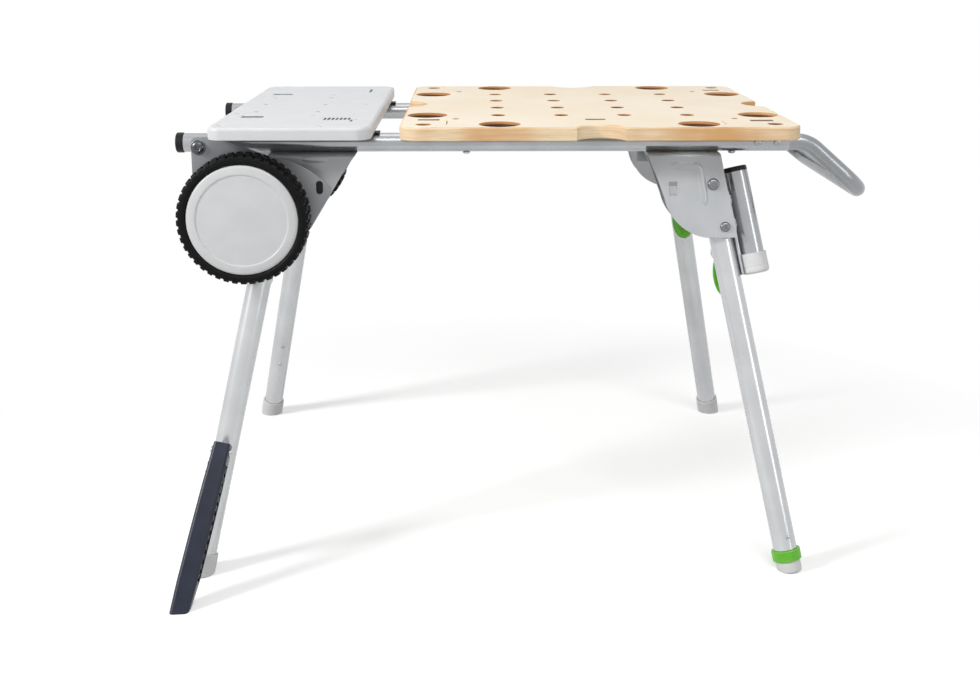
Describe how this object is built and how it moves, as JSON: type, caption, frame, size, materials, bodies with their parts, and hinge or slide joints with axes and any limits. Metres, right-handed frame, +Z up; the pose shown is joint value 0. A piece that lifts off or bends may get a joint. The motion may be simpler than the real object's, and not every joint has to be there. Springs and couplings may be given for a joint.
{
  "type": "table saw stand",
  "caption": "Folding table saw stand with perforated wood top, docking plate, folding legs, wheels and push handle.",
  "frame": {"origin": "middle of the stand's outer box, on the floor", "axes": "+X along the frame tubes towards the push handle, +Y away from the side with the fold-out foot, +Z up"},
  "size_m": [1.0448, 0.81, 0.66],
  "materials": {
    "wood": "clear-lacquered birch plywood",
    "docking_grey": "satin light grey paint",
    "black_plastic": "matt black",
    "frame_tube": "satin anodised",
    "bolt_steel": "zinc plated",
    "bracket_sheet": "satin silver paint",
    "leg_tube": "satin silver",
    "foot_plastic": "light grey, fine grain",
    "green_plastic": "satin green",
    "tyre_rubber": "matt black",
    "rim_plastic": "grey",
    "cap_plastic": "light grey, fine grain",
    "navy_plastic": "dark blue grey, fine grain"
  },
  "bodies": {
    "frame": {"wood_top": "wood", "docking_plate": "docking_grey", "plate_seat_front": "black_plastic", "plate_seat_rear": "black_plastic", "frame_tube_front": "frame_tube", "frame_tube_rear": "frame_tube", "tube_cap_front": "black_plastic", "tube_cap_rear": "black_plastic", "cross_rail_left": "frame_tube", "cross_rail_right": "frame_tube", "push_handle": "frame_tube", "wheel_axle": "bolt_steel", "handle_rivet_front_1": "bolt_steel", "handle_rivet_front_2": "bolt_steel", "top_screw_front_left": "bolt_steel", "top_screw_front_right": "bolt_steel", "wheel_plate_front": "bracket_sheet", "wheel_plate_bolt_front": "bolt_steel", "leg_bracket_right_front": "bracket_sheet", "pivot_bolt_right_front": "bolt_steel", "leg_bracket_left_front": "bracket_sheet", "pivot_bolt_left_front": "bolt_steel", "guide_bolt_right_front": "bolt_steel", "short_foot_right_front": "leg_tube", "short_foot_cap_right_front": "foot_plastic", "handle_rivet_rear_1": "bolt_steel", "handle_rivet_rear_2": "bolt_steel", "top_screw_rear_left": "bolt_steel", "top_screw_rear_right": "bolt_steel", "wheel_plate_rear": "bracket_sheet", "wheel_plate_bolt_rear": "bolt_steel", "leg_bracket_right_rear": "bracket_sheet", "pivot_bolt_right_rear": "bolt_steel", "leg_bracket_left_rear": "bracket_sheet", "pivot_bolt_left_rear": "bolt_steel", "guide_bolt_right_rear": "bolt_steel", "short_foot_right_rear": "leg_tube", "short_foot_cap_right_rear": "foot_plastic"},
    "leg_right_front": {"leg_right_front": "leg_tube"},
    "leg_right_rear": {"leg_right_rear": "leg_tube", "foot_cap_right_rear": "foot_plastic"},
    "leg_left_front": {"leg_left_front": "leg_tube", "foot_cap_left_front": "foot_plastic"},
    "leg_left_rear": {"leg_left_rear": "leg_tube", "foot_cap_left_rear": "foot_plastic"},
    "lever_right_front": {"latch_lever_right_front": "green_plastic"},
    "lever_right_rear": {"latch_lever_right_rear": "green_plastic"},
    "lever_left_front": {"latch_lever_left_front": "green_plastic"},
    "lever_left_rear": {"latch_lever_left_rear": "green_plastic"},
    "outrigger": {"outrigger_foot": "navy_plastic", "outrigger_pin": "bolt_steel"},
    "adjuster_ring": {"adjuster_ring": "green_plastic"},
    "adjuster_foot": {"adjuster_foot": "foot_plastic"},
    "wheel_front": {"tyre_front": "tyre_rubber", "wheel_rim_front": "rim_plastic", "wheel_cap_front": "cap_plastic"},
    "wheel_rear": {"tyre_rear": "tyre_rubber", "wheel_rim_rear": "rim_plastic", "wheel_cap_rear": "cap_plastic"}
  },
  "joints": [
    {"name": "fold_right_front", "type": "hinge", "parent": "frame", "child": "leg_right_front", "pos_m": [0.27491, -0.14296, 0.56], "axis": [0, 0.9703, -0.2419], "range_deg": [0, 101.4]},
    {"name": "fold_right_rear", "type": "hinge", "parent": "frame", "child": "leg_right_rear", "pos_m": [0.27491, 0.24552, 0.56], "axis": [0, 0.9703, 0.2419], "range_deg": [0, 101.4]},
    {"name": "fold_left_front", "type": "hinge", "parent": "frame", "child": "leg_left_front", "pos_m": [-0.3888, -0.16166, 0.485], "axis": [0, -0.9703, 0.2419], "range_deg": [0, 101.4]},
    {"name": "fold_left_rear", "type": "hinge", "parent": "frame", "child": "leg_left_rear", "pos_m": [-0.3888, 0.26422, 0.485], "axis": [0, -0.9703, -0.2419], "range_deg": [0, 101.4]},
    {"name": "latch_right_front", "type": "hinge", "parent": "leg_right_front", "child": "lever_right_front", "pos_m": [0.29517, -0.14191, 0.45671], "axis": [-0.9801, -0.0481, -0.1928], "range_deg": [0, 6], "stiffness_Nm_per_rad": 0.8, "springref_deg": -5.73},
    {"name": "latch_right_rear", "type": "hinge", "parent": "leg_right_rear", "child": "lever_right_rear", "pos_m": [0.29517, 0.24448, 0.45671], "axis": [0.9801, -0.0481, 0.1928], "range_deg": [0, 6], "stiffness_Nm_per_rad": 0.8, "springref_deg": -5.73},
    {"name": "latch_left_front", "type": "hinge", "parent": "leg_left_front", "child": "lever_left_front", "pos_m": [-0.40111, -0.15113, 0.41975], "axis": [-0.9801, 0.0481, 0.1928], "range_deg": [0, 6], "stiffness_Nm_per_rad": 0.8, "springref_deg": -5.73},
    {"name": "latch_left_rear", "type": "hinge", "parent": "leg_left_rear", "child": "lever_left_rear", "pos_m": [-0.40111, 0.25369, 0.41975], "axis": [0.9801, 0.0481, -0.1928], "range_deg": [0, 6], "stiffness_Nm_per_rad": 0.8, "springref_deg": -5.73},
    {"name": "outrigger_fold", "type": "hinge", "parent": "leg_left_front", "child": "outrigger", "pos_m": [-0.45238, -0.27101, 0.18903], "axis": [0.9801, -0.0481, -0.1928], "range_deg": [0, 17]},
    {"name": "adjuster_turn", "type": "hinge", "parent": "leg_right_front", "child": "adjuster_ring", "pos_m": [0.27491, -0.14296, 0.56], "axis": [-0.1987, 0.2371, 0.951], "range_deg": [0, 720]},
    {"name": "adjuster_extend", "type": "slide", "parent": "leg_right_front", "child": "adjuster_foot", "axis": [0.1987, -0.2371, -0.951], "range_m": [0, 0.0101]},
    {"name": "wheel_front_turn", "type": "hinge", "parent": "frame", "child": "wheel_front", "pos_m": [-0.41209, -0.22222, 0.528], "axis": [0, 1, 0], "continuous": true},
    {"name": "wheel_rear_turn", "type": "hinge", "parent": "frame", "child": "wheel_rear", "pos_m": [-0.41209, 0.32478, 0.528], "axis": [0, 1, 0], "continuous": true}
  ],
  "couplings": [
    {"joint": "adjuster_extend", "follows": "adjuster_turn", "m_per_rad": 0.00079577}
  ]
}
